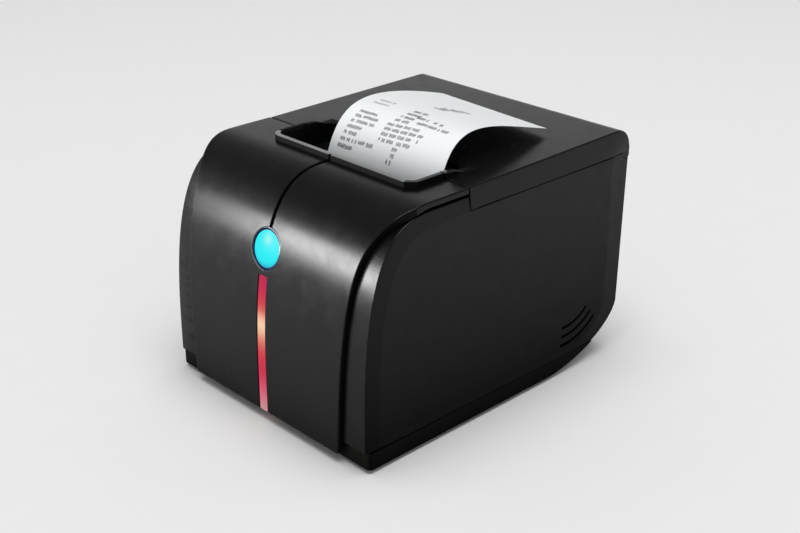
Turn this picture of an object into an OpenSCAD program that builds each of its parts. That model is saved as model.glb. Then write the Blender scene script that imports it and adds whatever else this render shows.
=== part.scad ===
/* Receipt printer with a drop-in paper roll, an automatic cutter and a lid that carries
   the platen. The modules are written in case coordinates: X to the right, Y backwards
   from the case's zero plane, Z up from the bottom of the base tray. place() moves them
   so that the origin is at the centre of the case, at the height the feet stand on. */

/* [Case] */
// Width of the case across its side panels
case_w = 145; // [144:0.5:150]
// Height of the lid at the rear, above the bottom of the base tray
case_h = 122.5; // [122.5:0.5:125]
// Rear-most Y of the case
rear_y = 181; // [180:0.5:184]
// Wall thickness of the moulded shells
wall = 2.5; // [2.2:0.1:2.8]
// Height of the base tray's visible band
base_h = 9; // [8:0.5:10]
// Height of the rubber feet
foot_h = 2; // [1.5:0.5:3]
// Squareness of the case's large front curve (2 is an ellipse)
bow_power = 3; // [2.8:0.1:3.2]
// How far the side bevels draw in at the edges of the case
bevel = 1.2; // [0.8:0.1:1.6]

/* [Front cover] */
// Distance that the cover's front stands ahead of the zero plane
cover_front = 4.5; // [4.3:0.1:4.7]
// Height of the cover's flat top
cover_top = 121; // [120.8:0.1:121.2]
// Wall thickness of the front cover
cover_wall = 2.3; // [2:0.1:2.4]
// Half width of the cover at its bottom edge
cover_half = 55; // [54:0.5:58]
// Y of the seam between the cover and the lid
seam_y = 62.5; // [62:0.5:63]

/* [Side panels] */
// Height of the panels' top edge ahead of the seam
panel_top = 116.6; // [116:0.1:117]
// Distance that the panels' front strip stands ahead of the zero plane
panel_front = 1.9; // [1.7:0.1:2.1]
// Height of the line where the lid meets the panels
lid_line = 110; // [109.5:0.5:110.5]
// Width of the three vent slots in each panel
vent_w = 1.5; // [1:0.1:2]

/* [Paper] */
// Width of the paper
paper_w = 79.5; // [79:0.5:80]
// X of the paper's centre line
paper_x = 8; // [7:0.5:9]
// Thickness the paper is modelled with
paper_t = 0.25; // [0.2:0.05:0.3]
// Radius of the full paper roll
roll_r = 38.5; // [30:0.5:39]
// Outer radius of the roll's core
core_r = 8.5; // [7:0.5:9]

/* [Print mechanism] */
// Radius of the platen's rubber
platen_r = 6; // [5.8:0.1:6.1]
// Radius of the platen's shaft
shaft_r = 3; // [2.8:0.1:3]
// Radial clearance of running shafts
run_gap = 0.05; // [0.03:0.01:0.08]
// Angle by which the nip lies below the platen's centre
nip_tilt = 12; // [11:0.5:13]
// Gear module
gear_m = 0.75; // [0.75:0.01:0.76]
// Teeth on the platen gear
platen_teeth = 24; // [24]
// Teeth on the idler gear
idler_teeth = 32; // [32]
// Teeth on the motor's and the cutter's pinions
pinion_teeth = 16; // [16]
// Travel of the moving blade
blade_travel = 12; // [10:0.5:12]

/* [Feed button] */
// Radius of the feed button
button_r = 9.6; // [9:0.1:9.6]
// Angle by which the button's face leans back
button_tilt = 15; // [14.5:0.5:15.5]
// Height of the button's centre
button_z = 87; // [86.5:0.5:87.5]
// Travel of the button
button_travel = 1.2; // [0.8:0.1:1.2]
// Half width of the light strip
strip_half = 2.9; // [2.5:0.1:3]

/* [Hidden] */
$fn = 48;

half_w = case_w / 2;
edge_x = half_w - bevel;
inner_x = half_w - bevel - wall + 0.2;
lip_x = edge_x + 0.3;            // half width of the cover's side lips and the lid's top
cover_low = 3.2;
cover_flare = 5.8;               // even widening of each side from the bottom to the top
cover_rise = cover_top - 0.4 - cover_low;
front_y = -cover_front;
mid_y = (front_y + rear_y) / 2;
bow_y = 42;                      // Y where the front curve reaches the flat top
bow_z = 8;                       // height where the front curve starts
heel_y = 123;                    // Y where the rear-bottom curve leaves the bottom
heel_z = 27.5;                   // height where that curve reaches the rear face
heel_power = 1.75;
rear_foot_y = rear_y - 2.2;      // the rear face leans: its Y at the heel
corner_r = 10;                   // rear top corner
vent_c = [134.9, 50.1];

hinge_y = rear_y - 2.5;
hinge_z = lid_line;
barrel_r = 2.5;
groove_r = 3.7;
hub_r = 3.4;                     // ends of the lid's hinge, in the side panels' grooves
pin_r = 1.25;
ear_x = [60, 64];

pit_x = [-42.6, 52];
pit_y = [44.7, 80];
rim_t = 3.2;
rim_x = [pit_x[0] - rim_t, pit_x[1] + rim_t];
rim_r = 7.5;                     // rounding of the rim's front left corner
pit_r = 6;                       // rounding of the pit's rear corners
rim_y = pit_y[0] - rim_t;
rim_up = 2.7;
pit_floor = 111.5;
floor_y = [64.5, 69];            // the pit floor's edges ahead of and behind the paper

platen_y = 75.5;
platen_z = 98;
gear_r = function(n) gear_m * n / 2;
idler_angle = 249;
motor_angle = 215;
idler_c = [platen_y, platen_z] + (gear_r(platen_teeth) + gear_r(idler_teeth))
    * [cos(idler_angle), sin(idler_angle)];
motor_c = idler_c + (gear_r(idler_teeth) + gear_r(pinion_teeth))
    * [cos(motor_angle), sin(motor_angle)];
idler_phase = idler_angle + 180 + 180 / idler_teeth;
motor_phase = motor_angle + 180 + 180 / pinion_teeth
    + (motor_angle - idler_phase) * idler_teeth / pinion_teeth;
gear_x = [-44.5, -40];
plate_l = [-39, -37.5];
plate_r = [53, 54.5];
arm_l = [-36.5, -34];
arm_r = [49.8, 52.2];
roller_x = [-33, 49];

roll_y = 118.5;
roll_z = 59.5;
bucket_z = 60;
bucket_r = 41;
bucket_t = 2;
bucket_x = [-33.5, 49.5];
web_x = [paper_x - paper_w / 2, paper_x + paper_w / 2];
web_gap = 0.3;
board_y = 163.2;
port_y = 178.9;                  // rear ends of the sockets

blade_z = 107.6;
blade_t = 0.8;
cut_pinion = [30, 48];
rack_x = cut_pinion[0] + gear_r(pinion_teeth);

button_y = 2;
socket_z = 40;
foot_xy = [58, 12, 112];
tray_x = half_w - 0.2;
tray_y = -0.5;
tray_r = 2;
bolt_x = 45;
bolt_y = [mid_y - 40, mid_y + 40];
bolt_r = 1.65;
screw_y = [30, 94];
screw_x = 63;

black = [0.05, 0.05, 0.055];
grey_black = [0.11, 0.11, 0.11];
steel = [0.7, 0.71, 0.72];

// ---- outlines in the Y-Z plane ------------------------------------------------------

// Quarter of a superellipse from [-a, 0] to [0, b]
function bow(a, b, n, steps = 20) = [for (i = [0:steps]) let (t = 90 * i / steps)
    [-a * pow(cos(t), 2 / n), b * pow(sin(t), 2 / n)]];
function moved(pts, d) = [for (p = pts) p + d];
function arc(c, r, from, to, steps = 10) = [for (i = [0:steps])
    let (a = from + (to - from) * i / steps) c + r * [cos(a), sin(a)]];

function cover_bow(d) = moved(bow(bow_y + cover_front - d, cover_top - bow_z - d, bow_power),
    [bow_y, bow_z]);
function panel_bow(d) = moved(bow(bow_y + panel_front - d, panel_top - bow_z - d, bow_power),
    [bow_y, bow_z]);
function heel(d) = [for (p = bow(rear_foot_y - heel_y - d, heel_z - d, heel_power, 16))
    [heel_y - p[0], heel_z - p[1]]];
function rear_at(z) = rear_foot_y + (rear_y - rear_foot_y) * (z - heel_z) / (lid_line - heel_z);
function top_at(y) = cover_top + (case_h - cover_top) * (y - seam_y) / (rear_y - corner_r - seam_y);

// Outline of the case below the lid, drawn in by d
function case_outline(d, roof = lid_line) = concat([[-panel_front + d, d]], panel_bow(d),
    [[seam_y, panel_top - d], [seam_y, roof], [rear_at(lid_line) - d, roof]], heel(d));
// Outline of the lid, drawn in by d
function lid_outline(d, floor_z = lid_line) = concat([[seam_y + 0.4, floor_z],
    [seam_y + 0.4, top_at(seam_y) - d]],
    arc([rear_y - corner_r, case_h - corner_r], corner_r - d, 90, 0),
    [[rear_at(lid_line) - d, floor_z]]);
// Line where the flat of the side panel meets its bevelled border
function crease_outline() = concat([[5.2, 13.5]], moved(bow(38, 99, bow_power), [43.5, 10.5]),
    [[166, lid_line], [166, 36]], arc([144, 35], 22, 0, -80), [[128, 12.5]]);

module along_x(x0, x1) translate([x0, 0, 0]) rotate([90, 0, 90]) linear_extrude(x1 - x0) children();
module along_y(y0, y1) translate([0, y1, 0]) rotate([90, 0, 0]) linear_extrude(y1 - y0) children();
module box(a, b) translate(a) cube(b - a);
module rod_x(x0, x1, c, r) translate([x0, c[0], c[1]]) rotate([0, 90, 0]) cylinder(h = x1 - x0, r = r);
module place() translate([0, -mid_y, foot_h]) children();
module both_sides() for (s = [0, 1]) mirror([s, 0, 0]) children();

// The case's outer form between its two bevelled sides
module case_form() hull() {
    along_x(-edge_x, edge_x) polygon(concat(case_outline(0), lid_outline(0)));
    along_x(-half_w, half_w) polygon(crease_outline());
}

// ---- case ---------------------------------------------------------------------------

module tray_plan() hull() {
    for (x = [-1, 1]) translate([x * (tray_x - tray_r), tray_y + tray_r]) circle(r = tray_r, $fn = 32);
    translate([-edge_x, 140]) square([2 * edge_x, rear_y - 140]);
    translate([-tray_x, 60]) square([2 * tray_x, 5]);
}

module base_tray() color(grey_black) place() difference() {
    union() {
        intersection() {
            along_x(-tray_x, tray_x) polygon(case_outline(0));
            linear_extrude(base_h - 0.3) tray_plan();
            difference() {
                box([-half_w, -10, 0], [half_w, rear_y, base_h]);
                intersection() {
                    along_x(-edge_x + wall, edge_x - wall) polygon(case_outline(wall));
                    box([-edge_x + wall, tray_y + wall, wall], [edge_x - wall, rear_y, base_h + 1]);
                }
            }
        }
        for (x = [-1, 1], y = bolt_y) translate([x * bolt_x, y, 0.5]) cylinder(h = 5, r = 4);
        for (x = [-1, 1], y = screw_y) translate([x * screw_x, y, 0.5]) cylinder(h = base_h - 0.8, r = 4.5);
    }
    for (x = [-1, 1], y = bolt_y) translate([x * bolt_x, y, -1]) cylinder(h = 10, r = bolt_r);
    for (x = [-1, 1], y = screw_y) translate([x * screw_x, y, -1]) {
        cylinder(h = 12, r = 1.6);
        cylinder(h = 3.2, r = 3.1);
    }
}

// Three slots that follow the rear-bottom curve
module vents() for (r = [24.4:5:34.4]) along_x(inner_x - 1, half_w + 1) intersection() {
    translate(vent_c) difference() {
        circle(r = r + vent_w / 2, $fn = 96);
        circle(r = r - vent_w / 2, $fn = 96);
    }
    polygon([vent_c, vent_c + polar(60, -95), vent_c + polar(60, -71), vent_c + polar(60, -47)]);
}

module side_panel_right() difference() {
    intersection() {
        case_form();
        along_x(50, half_w) polygon(case_outline(0));
        box([50, -10, base_h], [half_w, rear_y + 1, case_h]);
    }
    along_x(49, inner_x) polygon(case_outline(wall));
    box([49, seam_y - 1, 0], [inner_x, rear_y + 1, panel_top - wall]);
    box([49, seam_y, 0], [inner_x, rear_y + 1, case_h]);
    rod_x(49, half_w + 1, [hinge_y, hinge_z], groove_r);
    box([49, rim_y - 0.5, 100], [rim_x[1] + 0.3, seam_y + 1, case_h]);
    vents();
}

module screw_bosses() for (y = screw_y) difference() {
    box([screw_x - 4, y - 4, base_h], [inner_x, y + 4, base_h + 12]);
    translate([screw_x, y, base_h - 1]) cylinder(h = 10, r = 1.5);
}

module right_side_panel() color(grey_black) place() {
    side_panel_right();
    screw_bosses();
}

module left_side_panel() color(grey_black) place() mirror([1, 0, 0]) {
    side_panel_right();
    screw_bosses();
}

module rear_panel() color(grey_black) place() difference() {
    union() {
        intersection() {
            along_x(-inner_x + 0.1, inner_x - 0.1) difference() {
                polygon(case_outline(0));
                polygon(case_outline(wall, lid_line + 1));
            }
            box([-half_w, heel_y, base_h], [half_w, rear_y + 1, lid_line - 0.5]);
        }
        for (s = [-1, 1]) translate([s > 0 ? ear_x[0] : -ear_x[1], 0, 0]) {
            rod_x(0, ear_x[1] - ear_x[0], [hinge_y, hinge_z], barrel_r);
            box([0, hinge_y - barrel_r, hinge_z - 12], [ear_x[1] - ear_x[0], hinge_y, hinge_z]);
        }
    }
    for (x = [[-half_w, -ear_x[1]], [-ear_x[0], ear_x[0]], [ear_x[1], half_w]])
        rod_x(x[0], x[1], [hinge_y, hinge_z], groove_r);
    rod_x(-half_w, half_w, [hinge_y, hinge_z], pin_r);
    box([-57.2, 170, socket_z - 10.2], [-42.8, 185, socket_z + 10.2]);
    translate([-28, 185, socket_z]) rotate([90, 0, 0]) cylinder(h = 20, r = 5.2);
    box([-12.2, 170, socket_z - 6.2], [0.2, 185, socket_z + 5.2]);
    box([13.8, 170, socket_z - 7.2], [30.2, 185, socket_z + 6.7]);
    box([39.8, 170, socket_z - 7.2], [53.2, 185, socket_z + 5.2]);
}

// Front view of the cover, drawn in by d: it widens upwards to the full case
function cover_half_at(z) = let (t = (z - cover_low) / cover_rise)
    cover_half + cover_flare * t + (lip_x - cover_half - cover_flare) * pow(t, 10);
module cover_face(d) {
    n = 28;
    right = [for (i = [0:n]) let (z = cover_low + cover_rise * i / n) [cover_half_at(z) - d, z]];
    left = [for (i = [n:-1:0]) [-right[i][0], right[i][1]]];
    polygon(concat(right, [[lip_x - 0.1, cover_top + 3], [0.1 - lip_x, cover_top + 3]], left));
}

function cover_outline(d) = concat([[front_y + d, 0]], cover_bow(d), [[seam_y, cover_top - d], [seam_y, 0]]);

// Plan of the rim from its rounded front left corner to y1, drawn in by d
module rim_plan(y1, d = 0) polygon(concat([[rim_x[0] + d, y1]],
    arc([rim_x[0] + rim_r, rim_y + rim_r], rim_r - d, 180, 270, 8),
    [[rim_x[1] - 4.5 - d * 0.4, rim_y + d], [rim_x[1] - d, rim_y + 4.5 + d * 0.4], [rim_x[1] - d, y1]]));

module button_axis() translate([0, button_y, button_z]) rotate([-90 - button_tilt, 0, 0]) children();

module front_cover() color(black) place() difference() {
    intersection() {
        along_y(-10, seam_y) cover_face(0);
        union() {
            along_x(-half_w, half_w) difference() {
                polygon(cover_outline(0));
                polygon(cover_outline(cover_wall));
            }
            difference() {
                along_x(-half_w, half_w) polygon(cover_outline(0));
                along_x(-half_w, half_w) polygon(case_outline(-0.2, panel_top + 0.2));
                along_y(-11, seam_y + 1) cover_face(2.2);
            }
        }
    }
    translate([0, 0, cover_top - 8]) linear_extrude(20) rim_plan(seam_y + 1);
    box([-strip_half - 0.05, -20, 0], [strip_half + 0.05, 20, 74.2]);
    button_axis() translate([0, 0, -8]) cylinder(h = 20, r = button_r + 0.8);
}

module exit_rim_front() color(black) place() difference() {
    translate([0, 0, pit_floor - 2]) linear_extrude(cover_top + rim_up - pit_floor + 2) rim_plan(seam_y);
    translate([0, 0, pit_floor - 5]) linear_extrude(30) rim_plan(seam_y + 1, rim_t);
    box([-0.8, rim_y - 1, cover_top - 1], [0.8, rim_y + 0.9, cover_top + rim_up + 1]);
}

// The pit's floor ahead of the paper
module cutter_cover() color(black) place() translate([0, 0, pit_floor - 2]) linear_extrude(2)
    rim_plan(floor_y[0], rim_t + 0.1);

module light_strip() color([0.95, 0.25, 0.35]) place() intersection() {
    along_x(-strip_half, strip_half) difference() {
        polygon(cover_outline(0.15));
        polygon(cover_outline(2.4));
    }
    box([-5, -20, cover_low], [5, 20, 74]);
}

module button_ring() color([0.05, 0.12, 0.35]) place() button_axis() difference() {
    translate([0, 0, -0.2]) cylinder(h = 5, r = button_r + 0.75);
    translate([0, 0, -1]) cylinder(h = 8, r = button_r + 0.15);
}

module feed_button() color([0.2, 0.75, 0.95]) place() button_axis() {
    intersection() {
        translate([0, 0, -2]) cylinder(h = 5.5, r = button_r);
        translate([0, 0, 59.5]) sphere(r = 60, $fn = 96);
    }
    translate([0, 0, 3]) cylinder(h = 5.5, r = 3);
}

module indicator_board() color([0.05, 0.3, 0.15]) place() {
    button_axis() {
        translate([-13, -13, 13]) cube([26, 26, 1.6]);
        translate([-3, -3, 9.75]) cube([6, 6, 3.25]);
        for (a = [45:90:315]) rotate(a) translate([8.5, 0, 12]) cylinder(h = 1, r = 1.6);
    }
    box([-6, 6.5, 5], [6, 8.1, 70]);
    for (z = [12:11:67]) box([-1.6, 5.3, z - 1.6], [1.6, 6.5, z + 1.6]);
}

// ---- print mechanism ----------------------------------------------------------------

function inv_deg(rb, r) = r <= rb ? 0 : let (a = acos(rb / r)) tan(a) * 180 / PI - a;
function tooth_half(n, r) = let (rp = gear_r(n), rb = rp * cos(20))
    90 / n - 0.06 / rp * 180 / PI + inv_deg(rb, rp) - inv_deg(rb, r);
function polar(r, a) = r * [cos(a), sin(a)];
function tooth(n, a) = let (rp = gear_r(n), r0 = rp - 1.2 * gear_m, r1 = rp * cos(20), r2 = rp + 0.92 * gear_m,
    low = max(r0 + 0.05, r1), flank = [for (i = [0:4]) low + (r2 - low) * i / 4])
    concat([polar(r0, a - tooth_half(n, low) - 0.3)], [for (r = flank) polar(r, a - tooth_half(n, r))],
    [for (i = [4:-1:0]) polar(flank[i], a + tooth_half(n, flank[i]))], [polar(r0, a + tooth_half(n, low) + 0.3)]);
module gear_plan(n, phase) polygon([for (i = [0:n - 1]) each tooth(n, phase + 360 * i / n)]);
// A spur gear lying across X, centred on the Y-Z point c
module gear_x_axis(n, phase, c, x0, x1) translate([0, c[0], c[1]]) along_x(x0, x1) gear_plan(n, phase);

module plate_outline() difference() {
    union() {
        translate([44, wall]) square([46, 85]);
        translate([44, 60]) square([20, 48]);
        translate([68, 80]) square([16, 29]);
    }
    translate([platen_y - shaft_r - 1, platen_z]) square([2 * shaft_r + 1.4, 30]);
    translate([platen_y - 0.3, platen_z]) circle(r = shaft_r + 0.7);
    translate([66.3, 22]) circle(r = 7);
}

module frame_plate_left() color(steel) place() difference() {
    along_x(plate_l[0], plate_l[1]) plate_outline();
    rod_x(plate_l[0] - 1, plate_l[1] + 1, idler_c, 2);
    rod_x(plate_l[0] - 1, plate_l[1] + 1, motor_c, 5);
}

module frame_plate_right() color(steel) place() along_x(plate_r[0], plate_r[1]) plate_outline();

module frame_tie_bars() color(steel) place()
    for (c = [[48, 30], [48, 14], [85, 16]]) rod_x(plate_l[1], plate_r[0], c, 2.5);

module stepper_motor() color([0.35, 0.36, 0.38]) place() difference() {
    union() {
        rod_x(plate_l[1], plate_l[1] + 20, motor_c, 15.5);
        rod_x(plate_l[0] - 0.8, plate_l[1], motor_c, 4.9);
        translate([plate_l[1], motor_c[0] - 3, motor_c[1] - 21]) cube([1.2, 6, 42]);
    }
    rod_x(plate_l[0] - 2, plate_l[1] + 21, motor_c, 1 + run_gap);
}

module motor_pinion() color([0.85, 0.75, 0.4]) place() {
    gear_x_axis(pinion_teeth, motor_phase, motor_c, gear_x[0], gear_x[1]);
    rod_x(gear_x[1], plate_l[1] + 18, motor_c, 1);
}

module idler_pin() color(steel) place() {
    rod_x(gear_x[0] - 1.5, plate_l[1], idler_c, 2);
    rod_x(gear_x[0] - 2.3, gear_x[0] - 1.5, idler_c, 3.2);
}

module idler_gear() color([0.9, 0.9, 0.88]) place() difference() {
    gear_x_axis(idler_teeth, idler_phase, idler_c, gear_x[0], gear_x[1]);
    rod_x(gear_x[0] - 1, gear_x[1] + 1, idler_c, 2 + run_gap);
    for (a = [0:60:300]) rod_x(gear_x[0] - 1, gear_x[1] + 1, idler_c + 6.8 * [cos(a), sin(a)], 2);
}

// Frame on the platen's centre: its -Y runs forward to the nip and its +Z up along the paper
module nip_frame() translate([0, platen_y, platen_z]) rotate([nip_tilt, 0, 0]) children();

module print_head() color([0.85, 0.83, 0.75]) place() nip_frame()
    box([web_x[0] - 1.5, -platen_r - 2 * web_gap - paper_t - 1, -9], [web_x[1] + 1.5, -platen_r - 2 * web_gap - paper_t, 4.5]);

spring_x = [-12, 36];
module head_heatsink() color([0.75, 0.76, 0.78]) place() nip_frame() {
    back = -platen_r - 2 * web_gap - paper_t - 1;
    box([web_x[0] - 1.5, back - 2, -14], [web_x[1] + 1.5, back, 4.5]);
    for (z = [-13:3:2]) box([spring_x[0] + 5, back - 4, z], [spring_x[1] - 5, back - 2, z + 1]);
}

// Coil spring along -Y made as a swept wire
module coil(turns, r, wire, len) {
    sides = 6;
    per = 12;
    n = turns * per;
    pts = [for (i = [0:n]) let (a = 360 * i / per, y = -len * i / n)
        for (k = [0:sides - 1]) let (b = 360 * k / sides, q = r + wire * cos(b))
            [q * cos(a), y + wire * sin(b), q * sin(a)]];
    rings = [for (i = [0:n - 1]) for (k = [0:sides - 1]) let (m = (k + 1) % sides)
        [i * sides + k, i * sides + m, (i + 1) * sides + m, (i + 1) * sides + k]];
    polyhedron(pts, concat([[for (k = [sides - 1:-1:0]) k]], rings, [[for (k = [0:sides - 1]) n * sides + k]]));
}

module head_springs() color(steel) place() nip_frame() for (x = spring_x)
    translate([x, -platen_r - 2 * web_gap - paper_t - 3.4, -7]) coil(5, 2.6, 0.35, 6.2);

module head_bracket() color(steel) place() nip_frame() {
    back = -platen_r - 2 * web_gap - paper_t - 3 - 7.4;
    box([plate_l[1], back - 1.2, -6], [plate_r[0], back, 0]);
    box([spring_x[0] - 5, back - 1.2, -14], [plate_r[0], back, -6]);
    for (x = spring_x) translate([x, back, -7]) rotate([-90, 0, 0]) cylinder(h = 3, r = 1.8);
}

module head_ribbon() color([0.85, 0.85, 0.8]) place() along_x(8, 32)
    polygon([[63.6, 83.6], [64, 83.4], [70.9, 70], [70.9, 9.9], [94, 9.9], [94, 9.5], [70.5, 9.5], [70.5, 69.9]]);

module cutter_frame() color(steel) place() difference() {
    union() {
        box([plate_l[1], 31, 102], [plate_r[0], 58, 103.4]);
        for (x = [plate_l[1], plate_r[0] - 3]) box([x, 31, 103.4], [x + 3, 58, blade_z - 0.3]);
    }
    translate([cut_pinion[0], cut_pinion[1], 90]) cylinder(h = 20, r = 3);
}

module cutter_motor() color([0.4, 0.4, 0.42]) place() difference() {
    union() {
        translate([cut_pinion[0], cut_pinion[1], 78]) cylinder(h = 24, r = 9);
        translate([cut_pinion[0], cut_pinion[1], 102]) cylinder(h = 1.6, r = 2.9);
    }
    translate([cut_pinion[0], cut_pinion[1], 90]) cylinder(h = 20, r = 1 + run_gap);
}

module cutter_pinion() color([0.85, 0.75, 0.4]) place() translate([cut_pinion[0], cut_pinion[1], 0]) {
    translate([0, 0, 104]) linear_extrude(3.2) gear_plan(pinion_teeth, 0);
    translate([0, 0, 91]) cylinder(h = 13.2, r = 1);
}

module rack_plan(y0, n) {
    pitch = PI * gear_m;
    h = pitch / 4 - 0.06;
    lean = tan(20) * gear_m;
    polygon(concat([[rack_x + 4, y0 - pitch / 2], [rack_x + 1.2 * gear_m, y0 - pitch / 2]],
        [for (i = [0:n - 1]) let (y = y0 + i * pitch) each [
            [rack_x + 1.2 * gear_m, y - h - 1.2 * lean], [rack_x - 0.9 * gear_m, y - h + 0.9 * lean],
            [rack_x - 0.9 * gear_m, y + h - 0.9 * lean], [rack_x + 1.2 * gear_m, y + h + 1.2 * lean]]],
        [[rack_x + 1.2 * gear_m, y0 + (n - 0.5) * pitch], [rack_x + 4, y0 + (n - 0.5) * pitch]]));
}

module moving_blade() color([0.8, 0.81, 0.83]) place() {
    pitch = PI * gear_m;
    translate([0, 0, 104]) linear_extrude(blade_z - 104) rack_plan(cut_pinion[1] - 5.5 * pitch, 8);
    translate([0, 0, blade_z]) linear_extrude(blade_t) polygon([[-36.5, 46], [-36.5, 62.5],
        [paper_x, 59], [51.8, 62.5], [51.8, 46], [42, 46], [42, 33], [rack_x, 33], [rack_x, 46]]);
}

module fixed_blade() color([0.8, 0.81, 0.83]) place()
    box([-36, 68.3, blade_z + 1], [51, 83.5, blade_z + 1.8]);

// ---- lid ----------------------------------------------------------------------------

module lid_shell() color(black) place() difference() {
    union() {
        intersection() {
            case_form();
            along_x(-half_w, half_w) polygon(lid_outline(0, lid_line + 0.3));
        }
        rod_x(-inner_x, inner_x, [hinge_y, hinge_z], barrel_r);
        intersection() {
            case_form();
            both_sides() rod_x(inner_x, half_w, [hinge_y, hinge_z], hub_r);
        }
    }
    difference() {
        along_x(-inner_x, inner_x) polygon(lid_outline(wall, lid_line - 1));
        rod_x(-inner_x, inner_x, [hinge_y, hinge_z], barrel_r);
        box([-inner_x, hinge_y - 3, hinge_z], [inner_x, hinge_y, hinge_z + 4]);
    }
    box([-inner_x, seam_y, lid_line - 1], [inner_x, seam_y + 3, top_at(seam_y) - wall]);
    box([rim_x[0], seam_y - 1, 100], [rim_x[1], pit_y[1] + 3, case_h + 5]);
    both_sides() {
        rod_x(ear_x[0] - 0.3, ear_x[1] + 0.3, [hinge_y, hinge_z], groove_r);
        box([ear_x[0] - 0.3, hinge_y - 3.3, hinge_z - 5], [ear_x[1] + 0.3, hinge_y + 1, hinge_z + 3.5]);
    }
    rod_x(-half_w + 4, half_w - 4, [hinge_y, hinge_z], pin_r + run_gap);
    for (s = [-1, 1]) translate([s * (half_w - 1.2), 0, 0])
        difference() {
            box([-2.6, hinge_y, hinge_z - 4], [2.6, hinge_y + 4, hinge_z]);
            rod_x(-3, 3, [hinge_y, hinge_z], hub_r);
        }
}

module exit_rim_rear() color(black) place() {
    low = pit_floor - 2;
    back = pit_y[1] + 3;
    for (x = [[rim_x[0], pit_x[0]], [pit_x[1], rim_x[1]]]) along_x(x[0], x[1])
        polygon([[seam_y + 0.5, low], [seam_y + 0.5, cover_top + rim_up], [70, cover_top + rim_up - 0.5],
            [76, top_at(76)], [back, top_at(back)], [back, low]]);
    box([pit_x[0], pit_y[1], low], [pit_x[1], back, top_at(pit_y[1]) - 0.02]);
    for (x = [[pit_x[0], 1], [pit_x[1], -1]]) translate([x[0], pit_y[1], low])
        linear_extrude(top_at(pit_y[1] - pit_r) - 0.02 - low)
            polygon(concat([[0, 0]], [for (a = [0:15:90]) pit_r * [x[1] * (1 - sin(a)), cos(a) - 1]]));
    box([pit_x[0], floor_y[1], low], [pit_x[1], pit_y[1], pit_floor]);
    box([pit_x[0], floor_y[0] + 0.3, low], [arm_l[1], floor_y[1] + 1, pit_floor]);
    box([arm_r[0], floor_y[0] + 0.3, low], [pit_x[1], floor_y[1] + 1, pit_floor]);
}

module arm_outline() difference() {
    union() {
        translate([platen_y, platen_z]) circle(r = 6.4);
        polygon([[78.5, 92.4], [92, 104], [97, 115], [84, 115], [84, 108.3], [74, 104.2]]);
    }
    translate([platen_y, platen_z]) circle(r = shaft_r + 1);
}

module lid_frame() color(grey_black) place() {
    for (a = [arm_l, arm_r]) along_x(a[0], a[1]) arm_outline();
    difference() {
        box([arm_l[0], 84, 113], [arm_r[1], 150, 115]);
        for (x = [-20, 8, 36]) box([x - 9, 100, 112], [x + 9, 140, 116]);
    }
    for (x = [-30, 46], y = [92, 144]) translate([x, y, 115]) cylinder(h = top_at(y - 4) - wall - 115.05, r = 4);
}

module platen_bushings() color([0.75, 0.6, 0.3]) place() for (a = [arm_l, arm_r]) difference() {
    union() {
        rod_x(a[0], a[1], [platen_y, platen_z], shaft_r + 1);
        rod_x(a == arm_l ? a[1] : a[0] - 0.6, a == arm_l ? a[1] + 0.6 : a[0], [platen_y, platen_z], shaft_r + 1.8);
    }
    rod_x(a[0] - 1, a[1] + 1, [platen_y, platen_z], shaft_r + run_gap);
}

module platen_roller() color([0.15, 0.15, 0.16]) place() difference() {
    rod_x(roller_x[0], roller_x[1], [platen_y, platen_z], platen_r);
    rod_x(roller_x[0] - 1, roller_x[1] + 1, [platen_y, platen_z], shaft_r);
}

module platen_shaft() color(steel) place() rod_x(gear_x[0] - 1, plate_r[1] + 2, [platen_y, platen_z], shaft_r);

module platen_gear() color([0.9, 0.9, 0.88]) place() difference() {
    gear_x_axis(platen_teeth, idler_angle, [platen_y, platen_z], gear_x[0], gear_x[1]);
    rod_x(gear_x[0] - 1, gear_x[1] + 1, [platen_y, platen_z], shaft_r);
}

module hinge_pins() color(steel) place() both_sides() rod_x(ear_x[0] - 5, ear_x[1] + 4, [hinge_y, hinge_z], pin_r);

// ---- paper --------------------------------------------------------------------------

module paper_bucket() color(grey_black) place() {
    along_x(bucket_x[0], bucket_x[1]) difference() {
        union() {
            translate([roll_y, bucket_z]) circle(r = bucket_r + bucket_t, $fn = 96);
            translate([roll_y - bucket_r - bucket_t, bucket_z]) square([bucket_t, 23]);
            translate([roll_y - bucket_r - bucket_t, bucket_z + 23]) translate([1, 0]) circle(r = 1);
            translate([roll_y + bucket_r, bucket_z]) square([bucket_t, 42]);
        }
        translate([roll_y, bucket_z]) circle(r = bucket_r, $fn = 96);
        translate([roll_y - bucket_r, bucket_z]) square([2 * bucket_r, 60]);
    }
    for (x = [bucket_x[0] - 2, bucket_x[1]]) along_x(x, x + 2) union() {
        intersection() {
            translate([roll_y, bucket_z]) circle(r = bucket_r + bucket_t, $fn = 96);
            translate([0, 0]) square([200, bucket_z]);
        }
        translate([roll_y - 22, bucket_z]) square([bucket_r + bucket_t + 22, 40]);
    }
}

module paper_roll() color([0.96, 0.96, 0.95]) place() difference() {
    rod_x(web_x[0], web_x[1], [roll_y, roll_z], roll_r);
    rod_x(web_x[0] - 1, web_x[1] + 1, [roll_y, roll_z], core_r);
}

module roll_core() color([0.6, 0.5, 0.38]) place() difference() {
    rod_x(web_x[0], web_x[1], [roll_y, roll_z], core_r);
    rod_x(web_x[0] - 1, web_x[1] + 1, [roll_y, roll_z], core_r - 2);
}

// The paper from the roll over the bucket's lip, under the platen and up to the cutter
function web_line(r) = let (c = [platen_y, platen_z], leave = roll_y - roll_r - web_gap + platen_r + web_gap - r)
    concat([[leave, roll_z + 2], [leave, 84.5], [leave - 0.6, 85.8]], arc(c, r, 220, 180 + nip_tilt, 8),
    [c + r * [-cos(nip_tilt), -sin(nip_tilt)] + 10 * [-sin(nip_tilt), cos(nip_tilt)]]);

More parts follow.
